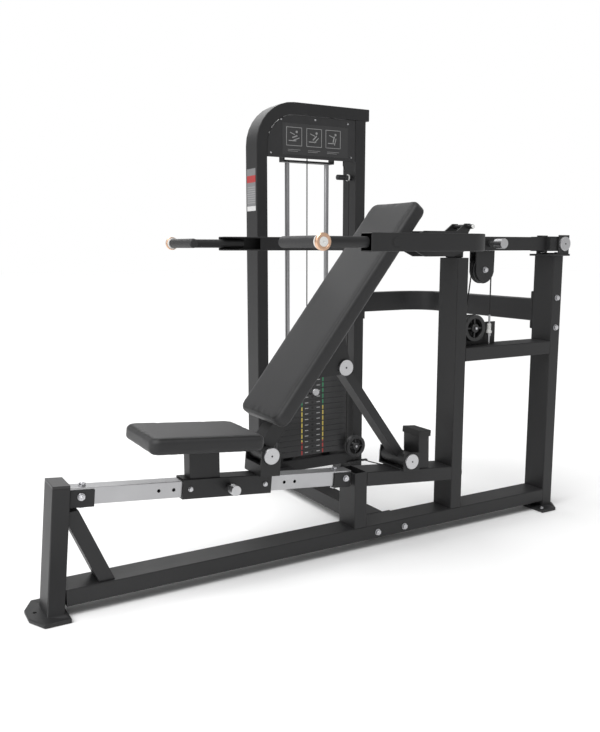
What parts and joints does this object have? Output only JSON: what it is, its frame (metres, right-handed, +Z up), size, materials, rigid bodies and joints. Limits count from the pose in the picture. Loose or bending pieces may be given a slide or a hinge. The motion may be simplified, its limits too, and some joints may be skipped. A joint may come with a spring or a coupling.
{
  "type": "adjustable press machine with weight stack",
  "caption": "Multi-angle press machine: sliding bench with linked backrest, swinging press arm with swivel handles, and a pin-selected weight tower at one side.",
  "frame": {"origin": "centre of the front foot's sole, under the front post, on the floor", "axes": "+X along the main beam from the front foot to the rear foot, +Y across towards the weight tower, +Z up"},
  "size_m": [2.061, 1.408, 1.63],
  "materials": {
    "paint": "matte black powder coat",
    "vinyl": "charcoal upholstery vinyl, stitched",
    "satin_steel": "satin plated steel",
    "turned_aluminium": "turned and brushed",
    "rubber": "moulded black rubber",
    "plastic": "black moulded plastic",
    "cast_plate": "black painted cast plate",
    "cable_jacket": "black nylon jacket over steel wire",
    "grip_foam": "black rubber grip"
  },
  "bodies": {
    "frame": {"main_beam": "paint", "front_post": "paint", "front_post_cap": "plastic", "front_brace": "paint", "short_post": "paint", "middle_post": "paint", "rear_post": "paint", "support_beam": "paint", "upper_beam": "paint", "post_bumper": "rubber", "slide_rail": "satin_steel", "rail_front_bracket": "paint", "rail_rear_bracket": "paint", "rest_post": "paint", "rest_pad": "rubber", "strut_bracket": "paint", "strut_pin": "turned_aluminium", "lever_saddle": "paint", "lever_axle": "turned_aluminium", "tower_frame": "paint", "tower_upright": "paint", "tower_base_beam": "paint", "placard": "plastic", "rod_bracket": "paint", "guide_rod_left": "satin_steel", "guide_rod_right": "satin_steel", "stack_bumper_left": "rubber", "stack_bumper_right": "rubber", "plates_resting": "cast_plate", "low_wheel_bracket": "paint", "cross_beam": "paint", "upper_cross_tube": "paint", "guide_bracket": "paint", "cable_anchor": "satin_steel", "lift_cable": "cable_jacket"},
    "carriage": {"carriage_sleeve": "paint", "seat_post": "paint", "seat_plate": "paint", "seat_cushion": "vinyl", "back_bracket": "paint", "back_pin": "turned_aluminium"},
    "backrest": {"backrest_cushion": "vinyl", "backrest_frame": "paint", "strut_top_pin": "turned_aluminium"},
    "strut": {"backrest_strut": "paint"},
    "bench_lock": {"bench_pin": "turned_aluminium"},
    "press_arm": {"press_yoke": "paint", "press_lever": "paint", "wheel_hanger": "paint"},
    "lever_lock": {"lever_pin": "turned_aluminium"},
    "near_handle": {"handle_near": "grip_foam"},
    "far_handle": {"handle_far": "grip_foam"},
    "arm_pulley": {"lift_wheel": "plastic"},
    "guide_pulley": {"guide_wheel": "plastic"},
    "low_pulley": {"low_wheel": "plastic"},
    "base_pulley": {"base_wheel": "plastic"},
    "stack": {"plates_lifted": "cast_plate", "head_plate": "cast_plate", "selector_stem": "satin_steel"},
    "selector": {"selector_pin": "turned_aluminium"}
  },
  "joints": [
    {"name": "bench_slide", "type": "slide", "parent": "frame", "child": "carriage", "axis": [0.9961, 0, -0.0881], "range_m": [0, 0.135]},
    {"name": "backrest_tilt", "type": "hinge", "parent": "carriage", "child": "backrest", "pos_m": [0.697, 0, 0.385], "axis": [0, -1, 0], "range_deg": [0, 12.5]},
    {"name": "strut_tilt", "type": "hinge", "parent": "frame", "child": "strut", "pos_m": [1.243, 0, 0.296], "axis": [0, 1, 0], "range_deg": [0, 11.8]},
    {"name": "bench_pin_pull", "type": "slide", "parent": "carriage", "child": "bench_lock", "axis": [0, -1, 0], "range_m": [0, 0.012], "stiffness_N_per_m": 600, "springref_m": -0.004},
    {"name": "press", "type": "hinge", "parent": "frame", "child": "press_arm", "pos_m": [1.972, 0, 1.05], "axis": [0, 1, 0], "range_deg": [0, 35], "deforming": ["lift_cable"]},
    {"name": "stack_lift", "type": "slide", "parent": "frame", "child": "stack", "axis": [0, 0, 1], "range_m": [0, 0.46]},
    {"name": "lever_pin_pull", "type": "slide", "parent": "press_arm", "child": "lever_lock", "axis": [0, -1, 0], "range_m": [0, 0.012], "stiffness_N_per_m": 600, "springref_m": -0.004},
    {"name": "near_handle_swivel", "type": "hinge", "parent": "press_arm", "child": "near_handle", "pos_m": [0.85, -0.461, 1.05], "axis": [0, 0, -1], "range_deg": [0, 35]},
    {"name": "far_handle_swivel", "type": "hinge", "parent": "press_arm", "child": "far_handle", "pos_m": [0.85, 0.461, 1.05], "axis": [0, 0, 1], "range_deg": [0, 35]},
    {"name": "arm_pulley_spin", "type": "hinge", "parent": "press_arm", "child": "arm_pulley", "pos_m": [1.609, 0, 0.955], "axis": [0, 1, 0], "continuous": true},
    {"name": "guide_pulley_spin", "type": "hinge", "parent": "frame", "child": "guide_pulley", "pos_m": [1.579, 0, 0.741], "axis": [0, 1, 0], "continuous": true},
    {"name": "low_pulley_spin", "type": "hinge", "parent": "frame", "child": "low_pulley", "pos_m": [1.545, 0.722, 0.138], "axis": [0, 1, 0], "continuous": true},
    {"name": "base_pulley_spin", "type": "hinge", "parent": "frame", "child": "base_pulley", "pos_m": [1.534, 0.0472, 0.195], "axis": [1, 0, 0], "continuous": true},
    {"name": "selector_pull", "type": "slide", "parent": "stack", "child": "selector", "axis": [0, -1, 0], "range_m": [0, 0.06]}
  ],
  "couplings": [
    {"joint": "backrest_tilt", "follows": "bench_slide", "rad_per_m": 1.5901},
    {"joint": "strut_tilt", "follows": "bench_slide", "rad_per_m": 1.4933},
    {"joint": "stack_lift", "follows": "press", "m_per_rad": 0.726},
    {"joint": "arm_pulley_spin", "follows": "press", "ratio": 6.691},
    {"joint": "guide_pulley_spin", "follows": "press", "ratio": 15.381},
    {"joint": "low_pulley_spin", "follows": "press", "ratio": -15.381},
    {"joint": "base_pulley_spin", "follows": "press", "ratio": -15.381}
  ]
}
